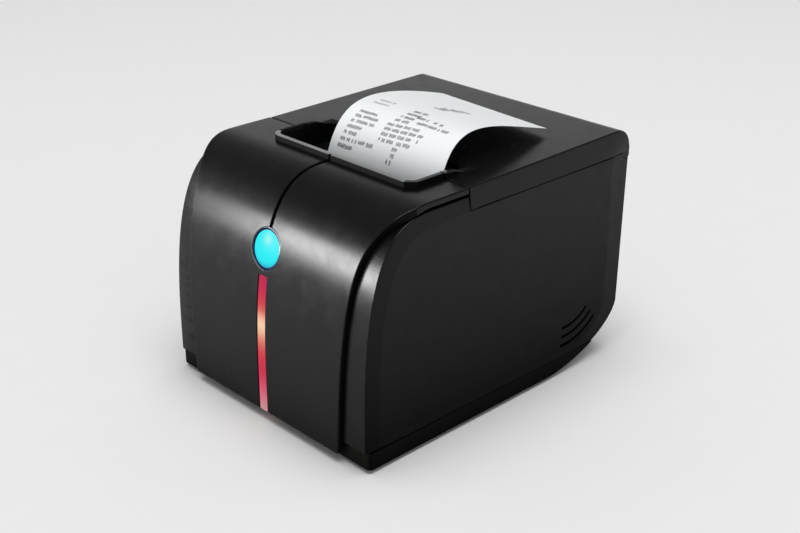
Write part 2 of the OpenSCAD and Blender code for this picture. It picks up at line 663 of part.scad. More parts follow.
module paper_web() color([0.96, 0.96, 0.95]) place() along_x(web_x[0], web_x[1]) {
    near = web_line(platen_r + web_gap + paper_t);
    far = web_line(platen_r + web_gap);
    polygon(concat(near, [for (i = [len(far) - 1:-1:0]) far[i]]));
}

function bezier(p, t) = pow(1 - t, 3) * p[0] + 3 * t * pow(1 - t, 2) * p[1] + 3 * t * t * (1 - t) * p[2] + pow(t, 3) * p[3];
tail_left = [[66.9, 109.2], [76.6, 133.5], [86.7, 142.7], [150, 123.8]];
tail_right = [[66.9, 109.2], [74.7, 147.1], [96.5, 137.2], [142.8, 124.6]];

// The printed tail: a sheet ruled between its two edge curves
module paper_tail() color([0.96, 0.96, 0.95]) place() {
    n = 24;
    edge = function(p, x, lift) [for (i = [0:n]) let (q = bezier(p, i / n), d = bezier(p, min(1, i / n + 0.01)) - bezier(p, i / n - 0.01),
        m = lift * [-d[1], d[0]] / norm(d)) [x, q[0] + m[0], q[1] + m[1]]];
    a = edge(tail_left, web_x[0], 0);
    b = edge(tail_left, web_x[0], paper_t);
    c = edge(tail_right, web_x[1], paper_t);
    d = edge(tail_right, web_x[1], 0);
    pts = [for (i = [0:n]) each [a[i], b[i], c[i], d[i]]];
    faces = [for (i = [0:n - 1]) for (k = [0:3]) let (m = (k + 1) % 4)
        each [[4 * i + k, 4 * i + 4 + k, 4 * i + 4 + m], [4 * i + k, 4 * i + 4 + m, 4 * i + m]]];
    polyhedron(pts, concat([[0, 1, 2], [0, 2, 3]], faces, [[4 * n, 4 * n + 2, 4 * n + 1], [4 * n, 4 * n + 3, 4 * n + 2]]));
}

module paper_sensor() color([0.1, 0.1, 0.12]) place() box([bucket_x[0] - 8, 112, 34], [bucket_x[0] - 2, 124, 44]);

// ---- electronics, switch, feet and screws --------------------------------------------

module main_board() color([0.05, 0.3, 0.15]) place() {
    box([-58, 93, 6], [58, 138, 7.6]);
    for (x = [-54, 54], y = [97, 134]) translate([x, y, y > 120 ? 4.4 : wall + 0.02])
        cylinder(h = y > 120 ? 1.6 : 3.48, r = 2.5);
    box([-20, 108, 7.6], [0, 128, 9.2]);
    box([10, 94, 7.6], [32, 99, 13]);
    for (x = [-45, -33]) translate([x, 116, 7.6]) cylinder(h = 7, r = 4.5);
}

module buzzer() color([0.08, 0.08, 0.08]) place() difference() {
    translate([44, 118, 7.6]) cylinder(h = 7, r = 6);
    translate([44, 118, 13]) cylinder(h = 3, r = 1.2);
}

module interface_board() color([0.05, 0.3, 0.15]) place()
    box([-62, board_y, 27], [62, board_y + 1.6, 95]);

module socket_shell(x0, x1, z0, z1, open_x, open_z) difference() {
    box([x0, board_y + 1.6, z0], [x1, port_y, z1]);
    box([open_x[0], port_y - 10, open_z[0]], [open_x[1], port_y + 1, open_z[1]]);
}

module dc_socket() color(black) place() translate([-28, 0, socket_z]) {
    difference() {
        union() {
            translate([0, port_y, 0]) rotate([90, 0, 0]) cylinder(h = 6, r = 5);
            box([-6.5, board_y + 1.6, -6.5], [6.5, port_y - 6, 6.5]);
        }
        translate([0, port_y + 1, 0]) rotate([90, 0, 0]) cylinder(h = 10, r = 3.2);
    }
    translate([0, port_y - 1, 0]) rotate([90, 0, 0]) cylinder(h = 9, r = 1);
}

module usb_socket() color(steel) place() {
    socket_shell(-12, 0, socket_z - 6, socket_z + 5, [-10.3, -1.7], [socket_z - 4.4, socket_z + 3.4]);
}

module lan_socket() color(steel) place() {
    socket_shell(14, 30, socket_z - 7, socket_z + 6.5, [16.1, 27.9], [socket_z - 4.5, socket_z + 3.5]);
}

module drawer_socket() color(black) place() {
    socket_shell(40, 53, socket_z - 7, socket_z + 5, [41.6, 51.4], [socket_z - 5, socket_z + 2]);
}

rocker_c = [port_y - 2.9, socket_z];
module switch_housing() color(black) place() difference() {
    box([-57, board_y + 1.6, socket_z - 10], [-43, port_y + 0.4, socket_z + 10]);
    box([-55.2, 168.5, socket_z - 8.4], [-44.8, port_y + 2, socket_z + 8.4]);
}

module power_rocker() color(black) place() {
    along_x(-55, -45) polygon([for (p = [[-2, -5], [-2, 5], [1.2, 7.6], [3.4, 7.4], [1.6, 0], [3.4, -7.4], [1.2, -7.6]])
        rocker_c + [p[0] * cos(8) - p[1] * sin(8), p[0] * sin(8) + p[1] * cos(8)]]);
    rod_x(-55.15, -44.85, rocker_c, 1);
}

module rubber_feet() color([0.08, 0.08, 0.08]) place() for (x = [-1, 1], y = [foot_xy[1], foot_xy[2]])
    translate([x * foot_xy[0], y, -foot_h]) cylinder(h = foot_h, r = 6);

module case_screws() color(steel) place() for (x = [-1, 1], y = screw_y) translate([x * screw_x, y, 0]) {
    difference() {
        translate([0, 0, 0.4]) cylinder(h = 1.8, r = 2.9);
        cylinder(h = 1.4, r = 1.3, $fn = 6);
    }
    translate([0, 0, 2.2]) cylinder(h = 14, r = 1.5);
}

base_tray();
left_side_panel();
right_side_panel();
rear_panel();
front_cover();
exit_rim_front();
light_strip();
button_ring();
indicator_board();
cutter_cover();
frame_plate_left();
frame_plate_right();
frame_tie_bars();
print_head();
head_heatsink();
head_springs();
head_bracket();
head_ribbon();
stepper_motor();
idler_pin();
cutter_frame();
cutter_motor();
paper_bucket();
paper_web();
paper_sensor();
main_board();
interface_board();
buzzer();
dc_socket();
usb_socket();
lan_socket();
drawer_socket();
switch_housing();
hinge_pins();
rubber_feet();
case_screws();
lid_shell();
exit_rim_rear();
lid_frame();
fixed_blade();
platen_bushings();
paper_tail();
platen_roller();
platen_shaft();
platen_gear();
idler_gear();
motor_pinion();
moving_blade();
cutter_pinion();
paper_roll();
roll_core();
feed_button();
power_rocker();
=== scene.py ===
"""Looks of the receipt printer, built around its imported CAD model."""
import math
import random

import bmesh
import bpy
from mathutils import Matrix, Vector
from mathutils.bvhtree import BVHTree


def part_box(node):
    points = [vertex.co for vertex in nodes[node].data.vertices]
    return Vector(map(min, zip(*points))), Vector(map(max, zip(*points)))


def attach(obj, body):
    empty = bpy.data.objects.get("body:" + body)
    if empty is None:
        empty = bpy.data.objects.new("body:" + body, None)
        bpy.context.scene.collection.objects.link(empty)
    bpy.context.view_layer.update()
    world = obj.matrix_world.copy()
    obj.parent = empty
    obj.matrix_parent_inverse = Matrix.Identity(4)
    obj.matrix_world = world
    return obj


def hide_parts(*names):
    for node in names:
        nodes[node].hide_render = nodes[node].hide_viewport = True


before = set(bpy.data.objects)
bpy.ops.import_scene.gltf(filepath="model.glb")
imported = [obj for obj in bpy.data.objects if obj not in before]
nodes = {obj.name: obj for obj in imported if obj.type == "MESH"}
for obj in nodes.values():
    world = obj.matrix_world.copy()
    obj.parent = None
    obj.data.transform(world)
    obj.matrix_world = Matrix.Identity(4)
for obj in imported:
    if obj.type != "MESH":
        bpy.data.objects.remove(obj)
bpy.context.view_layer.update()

# The case frame is the one the CAD source uses: millimetres, X to the right, Y backwards
# from the case's zero plane, Z up from the bottom of the base tray.
MM = 0.001

# Half widths: the side's flat, its edge, the inside of the wall and the cover's side at its top.
HALF_W, EDGE_X, INNER_X, LIP_X = 72.5, 71.3, 69.0, 71.6
WALL, COVER_WALL = 2.5, 2.3
BASE_H, FRONT, COVER_TOP, SEAM = 9.0, -4.5, 121.0, 62.5
PANEL_FRONT, PANEL_TOP, LID_LINE = 1.9, 116.6, 110.0
REAR, HEEL_Y, HEEL_Z, REAR_FOOT = 181.0, 123.0, 27.5, 178.8
HINGE, HUB_R = (178.5, 110.0), 3.4
BARREL_R, GROOVE_R = 2.5, 3.7
EAR, EAR_GAP = (60.0, 64.0), 0.3
SIDE_EDGE_R, SIDE_ROOT_X = 0.9, 50
LID_CORNER, LID_CORNER_R, LID_RISE = (171, 112.5), 10, 1.5
RIM_X, RIM_Y, RIM_TOP, RIM_T, RIM_R, RIM_CUT = (-45.8, 55.2), 41.5, 123.7, 3.2, 7.5, 4.5
PIT_X, PIT_Y, PIT_FLOOR, PIT_R = (-42.6, 52.0), (44.7, 80.0), 111.5, 6.0
COVER_LOW, COVER_HALF, COVER_FLARE, COVER_EDGE_R = 3.2, 55, 5.8, 0.8
# The front's curve: superellipses of power BOW about BOW_C, one for the cover, one for the side panels.
BOW, BOW_C, COVER_BOW, PANEL_BOW = 3.0, (42, 8), (46.5, 113), (43.9, 108.6)
BUTTON, BUTTON_R, BUTTON_RIM = (0.0, 2.0, 87.0), 9.6, 0.72
BUTTON_TILT = math.radians(15)
BUTTON_OUT = (0, -math.cos(BUTTON_TILT), math.sin(BUTTON_TILT))
STRIP_HALF, STRIP_Z = 2.9, (3.2, 74.0)
PLATEN, PLATEN_R = (75.5, 98.0), 6.0
ROLL, ROLL_R, CORE_R = (118.5, 59.5), 38.5, 8.5
WEB_X = (-31.75, 47.75)
PAPER_W = WEB_X[1] - WEB_X[0]

zero_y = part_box("front_cover")[0].y - FRONT * MM
zero_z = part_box("base_tray")[0].z

# A corner is drawn back when the rounding leaves it further off than this share of its width.
STRAY = 0.85


# ---- mesh helpers ---------------------------------------------------------------------

def at(x, y, z):
    return Vector((x * MM, zero_y + y * MM, zero_z + z * MM))


def make(name, points, faces):
    mesh = bpy.data.meshes.new(name)
    mesh.from_pydata([at(*p) for p in points], [], faces)
    obj = bpy.data.objects.new(name, mesh)
    bpy.context.scene.collection.objects.link(obj)
    bm = bmesh.new()
    bm.from_mesh(mesh)
    bmesh.ops.recalc_face_normals(bm, faces=bm.faces)
    bm.to_mesh(mesh)
    bm.free()
    return obj


def loft(name, rings, closed=False):
    n, count = len(rings[0]), len(rings)
    faces = []
    for i in range(count if closed else count - 1):
        j = (i + 1) % count
        for k in range(n):
            m = (k + 1) % n
            faces.append((i * n + k, i * n + m, j * n + m, j * n + k))
    if not closed:
        faces += [tuple(range(n)), tuple(range((count - 1) * n, count * n))]
    return make(name, [p for ring in rings for p in ring], faces)


def slab(outline, x0, x1):
    return loft("tool", [[(x, y, z) for y, z in outline] for x in (x0, x1)])


def column(plan, z0, z1):
    return loft("tool", [[(x, y, z) for x, y in plan] for z in (z0, z1)])


def block(a, b):
    return column([(a[0], a[1]), (b[0], a[1]), (b[0], b[1]), (a[0], b[1])], a[2], b[2])


def circle(c, r, steps=64):
    turns = [2 * math.pi * i / steps for i in range(steps)]
    return [(c[0] + r * math.cos(a), c[1] + r * math.sin(a)) for a in turns]


def rod_x(x0, x1, c, r):
    return slab(circle(c, r), x0, x1)


def lathe(name, profile, centre, out, right, steps=128):
    """Turns (radius, height) pairs about the axis out through centre. A radius of 0 closes an end."""
    out, right = Vector(out).normalized(), Vector(right).normalized()
    up = out.cross(right)
    rings = []
    for r, h in profile:
        ring = []
        for i in range(steps):
            a = 2 * math.pi * i / steps
            p = Vector(centre) + out * h + right * (r * math.cos(a)) + up * (r * math.sin(a))
            ring.append(tuple(p))
        rings.append(ring)
    obj = loft(name, rings, closed=profile[0][0] > 0 and profile[-1] == profile[0])
    bm = bmesh.new()
    bm.from_mesh(obj.data)
    bmesh.ops.remove_doubles(bm, verts=bm.verts, dist=0.002 * MM)
    bmesh.ops.recalc_face_normals(bm, faces=bm.faces)
    bm.to_mesh(obj.data)
    bm.free()
    return obj


def settle(obj):
    """Applies the modifiers."""
    graph = bpy.context.evaluated_depsgraph_get()
    mesh = bpy.data.meshes.new_from_object(obj.evaluated_get(graph))
    obj.modifiers.clear()
    obj.data = mesh
    return obj


def carve(obj, *tools, how="DIFFERENCE"):
    for tool in tools:
        m = obj.modifiers.new("carve", "BOOLEAN")
        m.operation, m.solver, m.object = how, "EXACT", tool
    settle(obj)
    for tool in tools:
        bpy.data.objects.remove(tool)
    return obj


def soften(obj, width=0.25, angle=32, segments=2):
    """Rounds the sharp edges, draws back corners that the rounding threw out, and shades the rest smooth."""
    bm = bmesh.new()
    bm.from_mesh(obj.data)
    bmesh.ops.remove_doubles(bm, verts=bm.verts, dist=0.03 * MM)
    bmesh.ops.dissolve_degenerate(bm, edges=bm.edges, dist=0.01 * MM)
    if width:
        surface = BVHTree.FromBMesh(bm)
        edges = [e for e in bm.edges if len(e.link_faces) == 2 and e.calc_face_angle(0) > math.radians(angle)]
        bmesh.ops.bevel(bm, geom=edges, offset=width * MM, offset_type="OFFSET", segments=segments,
                        profile=0.6, affect="EDGES", clamp_overlap=False)
        for v in bm.verts:
            near, _, _, gap = surface.find_nearest(v.co)
            if gap > STRAY * width * MM:
                v.co = near
    bm.to_mesh(obj.data)
    bm.free()
    obj.data.shade_smooth()
    obj.data.set_sharp_from_angle(angle=math.radians(38))
    m = obj.modifiers.new("normals", "WEIGHTED_NORMAL")
    m.keep_sharp = True
    return settle(obj)


def copy_of(node, name, width=0.25, angle=32):
    """A new piece with the shape of a CAD node and rounded edges."""
    obj = bpy.data.objects.new(name, nodes[node].data.copy())
    bpy.context.scene.collection.objects.link(obj)
    bm = bmesh.new()
    bm.from_mesh(obj.data)
    bmesh.ops.remove_doubles(bm, verts=bm.verts, dist=0.01 * MM)
    bmesh.ops.dissolve_limit(bm, angle_limit=math.radians(0.6), verts=bm.verts, edges=bm.edges)
    bm.to_mesh(obj.data)
    bm.free()
    return soften(obj, width, angle)


def join(name, parts):
    bm = bmesh.new()
    for p in parts:
        bm.from_mesh(p.data)
        bpy.data.objects.remove(p)
    mesh = bpy.data.meshes.new(name)
    bm.to_mesh(mesh)
    bm.free()
    obj = bpy.data.objects.new(name, mesh)
    bpy.context.scene.collection.objects.link(obj)
    return obj


def piece(obj, name, body, slot, material, *replaced):
    obj.name = obj.data.name = name
    obj.data.materials.clear()
    obj.data.materials.append(material)
    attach(obj, body)
    if replaced:
        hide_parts(*replaced)
    return obj


# ---- outlines in the Y-Z plane ----------------------------------------------------------

def bow(a, b, n, steps=64):
    """Quarter of a superellipse from (-a, 0) to (0, b)."""
    out = []
    for i in range(steps + 1):
        t = math.pi / 2 * i / steps
        out.append((-a * abs(math.cos(t)) ** (2 / n), b * abs(math.sin(t)) ** (2 / n)))
    return out


def moved(points, dy, dz):
    return [(y + dy, z + dz) for y, z in points]


def arc(c, r, start, end, steps=12):
    return [(c[0] + r * math.cos(math.radians(start + (end - start) * i / steps)),
             c[1] + r * math.sin(math.radians(start + (end - start) * i / steps))) for i in range(steps + 1)]


def rear_at(z):
    return REAR_FOOT + (REAR - REAR_FOOT) * (z - HEEL_Z) / (LID_LINE - HEEL_Z)


def top_at(y):
    return COVER_TOP + LID_RISE * (y - SEAM) / (LID_CORNER[0] - SEAM)


def heel(d):
    return [(HEEL_Y - p[0], HEEL_Z - p[1]) for p in bow(REAR_FOOT - HEEL_Y - d, HEEL_Z - d, 1.75, 32)]


def panel_bow(d):
    return moved(bow(PANEL_BOW[0] - d, PANEL_BOW[1] - d, BOW), *BOW_C)


def panel_line(d):
    """The side panel's outline drawn in by d. Its straight top runs on to the rear."""
    top = [(SEAM, PANEL_TOP - d), (rear_at(LID_LINE) - d, PANEL_TOP - d)]
    return [(-PANEL_FRONT + d, d)] + panel_bow(d) + top + heel(d)


def lid_line(d):
    front = [(-PANEL_FRONT + d, d), (-PANEL_FRONT + d, 60), (20, top_at(20) - d)]
    top = [(SEAM + 0.4, top_at(SEAM) - d)] + arc(LID_CORNER, LID_CORNER_R - d, 90, 0)
    return front + top + [(rear_at(LID_LINE) - d, LID_LINE)] + heel(d)


def inside_line(d):
    """The outline of the space behind a side panel, which ends at the lid's line behind the seam."""
    top = [(SEAM, PANEL_TOP - d), (SEAM, LID_LINE), (rear_at(LID_LINE) - d, LID_LINE)]
    return [(-PANEL_FRONT + d, d)] + panel_bow(d) + top + heel(d)


def crease_line():
    """The line inside which the case's side is flat."""
    return ([(5.2, 13.5)] + moved(bow(38, 99, BOW), 43.5, 10.5) + [(166, LID_LINE), (166, 36)]
            + arc((144, 35), 22, 0, -80) + [(128, 12.5)])


def cast(polygon, c, angle):
    """Where the ray from c at the angle leaves the polygon."""
    dy, dz = math.cos(angle), math.sin(angle)
    best = None
    for (y0, z0), (y1, z1) in zip(polygon, polygon[1:] + polygon[:1]):
        ey, ez = y1 - y0, z1 - z0
        det = ey * dz - ez * dy
        if abs(det) < 1e-12:
            continue
        t = (ey * (z0 - c[1]) - ez * (y0 - c[0])) / det
        s = (dy * (z0 - c[1]) - dz * (y0 - c[0])) / det
        if t > 0 and -1e-7 <= s <= 1 + 1e-7 and (best is None or t > best):
            best = t
    return (c[0] + dy * best, c[1] + dz * best)


def side_form(line, x0):
    """The case's right side: a rounded edge, a sloping border and a flat inside the crease."""
    c = (92, 60)
    crease = crease_line()
    angles = sorted({round(math.atan2(z - c[1], y - c[0]), 5) for y, z in line(0) + crease})
    angles = [a for i, a in enumerate(angles) if i == 0 or a - angles[i - 1] > 0.002]

    def ring(polygon, x):
        return [(x,) + cast(polygon, c, a) for a in angles]

    rings = [ring(line(0), x0)]
    for i in range(6):
        a = math.pi / 2 * i / 5
        rings.append(ring(line(SIDE_EDGE_R * (1 - math.cos(a))), EDGE_X - SIDE_EDGE_R * (1 - math.sin(a))))
    rim, top = rings[-1], ring(crease, HALF_W)

    def mix(p, q, t):
        return [tuple(u + (v - u) * t for u, v in zip(a, b)) for a, b in zip(p, q)]

    rings += [mix(rim, top, 0.06), mix(rim, top, 0.93), mix(rim, top, 0.985)]
    middle = [(HALF_W, c[0], c[1])] * len(top)
    rings += [mix(top, middle, 0.003), mix(top, middle, 0.012)]
    return loft("side", rings)


def mirror(obj):
    other = bpy.data.objects.new(obj.name, obj.data.copy())
    bpy.context.scene.collection.objects.link(other)
    for v in other.data.vertices:
        v.co.x = -v.co.x
    other.data.flip_normals()
    return other


# ---- materials --------------------------------------------------------------------------

NOISE_SPAN, ROUGH_VARY = (0.35, 0.65), 0.06


def shader(name, color, rough, metallic=0.0, grain=0.3, bump=0.12, vary=0.12, painted_low_shade=None, **sockets):
    """A finish with a fine grain in its relief and roughness, and a soft change of colour over it.
    Given heights in case millimetres with a specular level at each, the reflections grow dimmer low down:
    painted shade for the shaded floor they mirror near the case."""
    m = bpy.data.materials.new(name)
    m.use_nodes = True
    t = m.node_tree
    s = t.nodes["Principled BSDF"]
    s.inputs["Metallic"].default_value = metallic
    for key, value in sockets.items():
        s.inputs[key.replace("_", " ")].default_value = value
    place = t.nodes.new("ShaderNodeTexCoord")

    def noise(size, detail, roughness=0.5):
        n = t.nodes.new("ShaderNodeTexNoise")
        n.inputs["Scale"].default_value = 1 / (size * MM)
        n.inputs["Detail"].default_value = detail
        n.inputs["Roughness"].default_value = roughness
        t.links.new(place.outputs["Object"], n.inputs["Vector"])
        return n.outputs["Fac"]

    def ramp(fac, low, high):
        r = t.nodes.new("ShaderNodeValToRGB")
        r.color_ramp.elements[0].position, r.color_ramp.elements[1].position = NOISE_SPAN
        r.color_ramp.elements[0].color = (*low, 1)
        r.color_ramp.elements[1].color = (*high, 1)
        t.links.new(fac, r.inputs["Fac"])
        return r.outputs["Color"]

    def mapped(fac, low, high):
        r = t.nodes.new("ShaderNodeMapRange")
        r.inputs["From Min"].default_value, r.inputs["From Max"].default_value = NOISE_SPAN
        r.inputs["To Min"].default_value, r.inputs["To Max"].default_value = low, high
        t.links.new(fac, r.inputs["Value"])
        return r.outputs["Result"]

    low, high = [c * (1 - vary) for c in color], [c * (1 + vary) for c in color]
    t.links.new(ramp(noise(22, 3), low, high), s.inputs["Base Color"])
    low, high = rough - ROUGH_VARY / 2, rough + ROUGH_VARY / 2
    t.links.new(mapped(noise(9, 4, 0.6), low, high), s.inputs["Roughness"])
    # A specular level that rises with height: painted shade on the low reflections.
    if painted_low_shade:
        split, rise = t.nodes.new("ShaderNodeSeparateXYZ"), t.nodes.new("ShaderNodeMapRange")
        t.links.new(place.outputs["Object"], split.inputs[0])
        t.links.new(split.outputs["Z"], rise.inputs["Value"])
        for key, value in zip(("From Min", "To Min", "From Max", "To Max"), painted_low_shade):
            rise.inputs[key].default_value = at(0, 0, value).z if key.startswith("From") else value
        t.links.new(rise.outputs["Result"], s.inputs["Specular IOR Level"])
    if bump:
        b = t.nodes.new("ShaderNodeBump")
        b.inputs["Strength"].default_value = bump
        b.inputs["Distance"].default_value = 0.1 * MM
        t.links.new(noise(grain, 2), b.inputs["Height"])
        t.links.new(b.outputs["Normal"], s.inputs["Normal"])
    return m


# satin_black and textured_black reflect less low down on the case: painted shade, not a change in their finish.
MAT = {
    "satin_black": shader("satin_black", (0.0022, 0.0023, 0.0021), 0.25, grain=0.5, bump=0.03,
                          painted_low_shade=(0, 0.04, 72, 0.22)),
    "gloss_black": shader("gloss_black", (0.004, 0.004, 0.0045), 0.22, grain=0.8, bump=0.02),
    "textured_black": shader("textured_black", (0.0022, 0.0023, 0.002), 0.5, grain=0.35, bump=0.2,
                             painted_low_shade=(0, 0.01, 105, 0.24)),
    "ring_blue": shader("ring_blue", (0.004, 0.012, 0.05), 0.2, grain=0.6, bump=0.02),
    "board_green": shader("board_green", (0.012, 0.09, 0.035), 0.4, grain=0.5, bump=0.1),
    "sheet_steel": shader("sheet_steel", (0.55, 0.56, 0.57), 0.34, 1.0, grain=0.6, bump=0.05),
    "bright_steel": shader("bright_steel", (0.68, 0.68, 0.69), 0.2, 1.0, grain=0.5, bump=0.03),
    "blade_steel": shader("blade_steel", (0.62, 0.63, 0.66), 0.16, 1.0, grain=0.3, bump=0.04),
    "head_ceramic": shader("head_ceramic", (0.35, 0.33, 0.28), 0.3, grain=0.4, bump=0.04),
    "heatsink_alloy": shader("heatsink_alloy", (0.6, 0.61, 0.63), 0.42, 1.0, grain=0.4, bump=0.08),
    "ribbon_cream": shader("ribbon_cream", (0.68, 0.62, 0.48), 0.5, grain=0.4, bump=0.05),
    "motor_can": shader("motor_can", (0.3, 0.3, 0.31), 0.36, 1.0, grain=0.5, bump=0.06),
    "gear_brass": shader("gear_brass", (0.66, 0.46, 0.17), 0.28, 1.0, grain=0.4, bump=0.05),
    "gear_white": shader("gear_white", (0.72, 0.71, 0.66), 0.42, grain=0.4, bump=0.04),
    "bush_brass": shader("bush_brass", (0.6, 0.42, 0.18), 0.35, 1.0, grain=0.4, bump=0.05),
    "platen_rubber": shader("platen_rubber", (0.02, 0.02, 0.021), 0.62, grain=0.2, bump=0.25),
    "foot_rubber": shader("foot_rubber", (0.012, 0.012, 0.012), 0.75, grain=0.3, bump=0.3),
    "receipt_paper": shader("receipt_paper", (0.77, 0.79, 0.8), 0.6, grain=0.25, bump=0.06, vary=0.01),
    "core_card": shader("core_card", (0.42, 0.3, 0.18), 0.8, grain=0.4, bump=0.25),
    # Near black matte of the inner parts, also laid on the cover's gap walls as painted shade.
    "inner_black": shader("inner_black", (0.0015, 0.0015, 0.0015), 0.6, grain=0.4, bump=0.15,
                          Specular_IOR_Level=0.08),
    "rim_grey": shader("rim_grey", (0.15, 0.155, 0.15), 0.3, grain=0.5, bump=0.04),
    "print_grey": shader("print_grey", (0.03, 0.035, 0.035), 0.6, bump=0.0, vary=0.3),
    "print_faint": shader("print_faint", (0.3, 0.31, 0.32), 0.6, bump=0.0, vary=0.2),
}


def linear(c):
    """A display value from 0 to 255 as a linear one from 0 to 1."""
    c /= 255
    return c / 12.92 if c <= 0.04045 else ((c + 0.055) / 1.055) ** 2.4


def glow_material(name, base, coordinate, stops, strength):
    """Emission that follows a coordinate node through a ramp of display colours."""
    m = bpy.data.materials.new(name)
    m.use_nodes = True
    t = m.node_tree
    s = t.nodes["Principled BSDF"]
    s.inputs["Base Color"].default_value = (*base, 1)
    s.inputs["Roughness"].default_value = 0.3
    s.inputs["Specular IOR Level"].default_value = 0.03
    s.inputs["Emission Strength"].default_value = strength
    r = t.nodes.new("ShaderNodeValToRGB")
    r.color_ramp.interpolation = "B_SPLINE"
    while len(r.color_ramp.elements) < len(stops):
        r.color_ramp.elements.new(0.5)
    for e, (position, color) in zip(r.color_ramp.elements, stops):
        e.position = position
        e.color = (*[linear(c) for c in color], 1)
    t.links.new(coordinate(t), r.inputs["Fac"])
    t.links.new(r.outputs["Color"], s.inputs["Emission Color"])
    return m


def up_the_strip(t):
    """0 at the light strip's bottom and 1 at its top."""
    place = t.nodes.new("ShaderNodeTexCoord")
    split = t.nodes.new("ShaderNodeSeparateXYZ")
    span = t.nodes.new("ShaderNodeMapRange")
    t.links.new(place.outputs["Object"], split.inputs[0])
    t.links.new(split.outputs["Z"], span.inputs["Value"])
    span.inputs["From Min"].default_value = at(0, 0, STRIP_Z[0]).z
    span.inputs["From Max"].default_value = at(0, 0, STRIP_Z[1]).z
    return span.outputs["Result"]


def off_the_button(t):
    """The distance from a spot high on the button, 0 there and 1 past its far edge: the glow is whiter at that
    spot, a painted highlight, and darker blue at the lower edge, painted shade.
    """
    place = t.nodes.new("ShaderNodeTexCoord")
    away = t.nodes.new("ShaderNodeVectorMath")
    away.operation = "DISTANCE"
    away.inputs[1].default_value = at(BUTTON[0], BUTTON[1] + 1.2, BUTTON[2] + 4.5)
    span = t.nodes.new("ShaderNodeMapRange")
    t.links.new(place.outputs["Object"], away.inputs[0])
    t.links.new(away.outputs["Value"], span.inputs["Value"])
    span.inputs["From Max"].default_value = 15.5 * MM
    return span.outputs["Result"]


MAT["strip_light"] = glow_material("strip_light", (0.012, 0.001, 0.002), up_the_strip, [
    (0.0, (190, 150, 150)), (0.06, (215, 130, 145)), (0.17, (214, 85, 110)), (0.3, (206, 38, 76)),
    (0.45, (212, 58, 78)), (0.55, (226, 130, 112)), (0.64, (255, 224, 185)), (0.7, (255, 190, 165)),
    (0.76, (212, 80, 82)), (0.86, (210, 50, 78)), (0.97, (190, 40, 84))], 0.92)
# The button glows cyan; its whiter spot high up and its darker blue lower edge are painted highlight and
# painted shade on that glow.
MAT["button_glow"] = glow_material("button_glow", (0.0, 0.012, 0.03), off_the_button, [
    (0.0, (185, 246, 230)), (0.14, (100, 246, 238)), (0.3, (50, 244, 250)), (0.6, (40, 246, 246)),
    (0.76, (48, 236, 244)), (0.9, (30, 130, 180)), (1.0, (16, 60, 110))], 0.9)


# ---- front cover ------------------------------------------------------------------------

def cover_path(d):
    """Points of the cover's line with their outward normals, from the bottom to the seam."""
    line = [(FRONT + d, z) for z in (COVER_LOW, 5.5)]
    line += moved(bow(COVER_BOW[0] - d, COVER_BOW[1] - d, BOW, 88), *BOW_C)
    line += [(y, COVER_TOP - d) for y in (45, 50, 56, SEAM - 0.55)]
    out = []
    for i, (y, z) in enumerate(line):
        a, b = line[max(0, i - 1)], line[min(len(line) - 1, i + 1)]
        dy, dz = b[0] - a[0], b[1] - a[1]
        size = math.hypot(dy, dz)
        out.append(((y, z), (-dz / size, dy / size)))
    return out


def cover_half_at(z):
    """Half the cover's width, which flares slowly up the front and runs out to the sides at the top."""
    t = max(0.0, min(1.0, (z - COVER_LOW) / (COVER_TOP - 0.4 - COVER_LOW)))
    return COVER_HALF + COVER_FLARE * t + (LIP_X - (COVER_HALF + COVER_FLARE)) * t ** 10


def reach(a, b, n, ny, nz):
    """How far a superellipse reaches along a direction."""
    p = n / (n - 1)
    return (abs(a * ny) ** p + abs(b * nz) ** p) ** (1 / p)


def rim_plan(d, y1):
    """Plan of the exit's rim drawn in by d: from y1 round the round left corner and the cut off right one."""
    rounded = arc((RIM_X[0] + RIM_R, RIM_Y + RIM_R), RIM_R - d, 180, 270, 10)
    cut = RIM_CUT + d * 0.4
    cut_off = [(RIM_X[1] - cut, RIM_Y + d), (RIM_X[1] - d, RIM_Y + cut)]
    return [(RIM_X[0] + d, y1)] + rounded + cut_off + [(RIM_X[1] - d, y1)]


def second_finish(obj, material, chosen):
    """Gives the faces picked by chosen(centre, normal), in case millimetres, a second material."""
    obj.data.materials.append(material)
    origin = at(0, 0, 0)
    for f in obj.data.polygons:
        if chosen((f.center - origin) / MM, f.normal):
            f.material_index = len(obj.data.materials) - 1


def groove_line():
    """The groove that runs up the cover from the button to the exit."""
    section = ((-1.15, 1), (-1.15, -0.05), (-0.7, -1.5), (0.7, -1.5), (1.15, -0.05), (1.15, 1))
    rings = []
    for (y, z), (ny, nz) in cover_path(0):
        if z > 94 and y < RIM_Y + 1:
            rings.append([(x, y + ny * h, z + nz * h) for x, h in section])
    return loft("tool", rings)


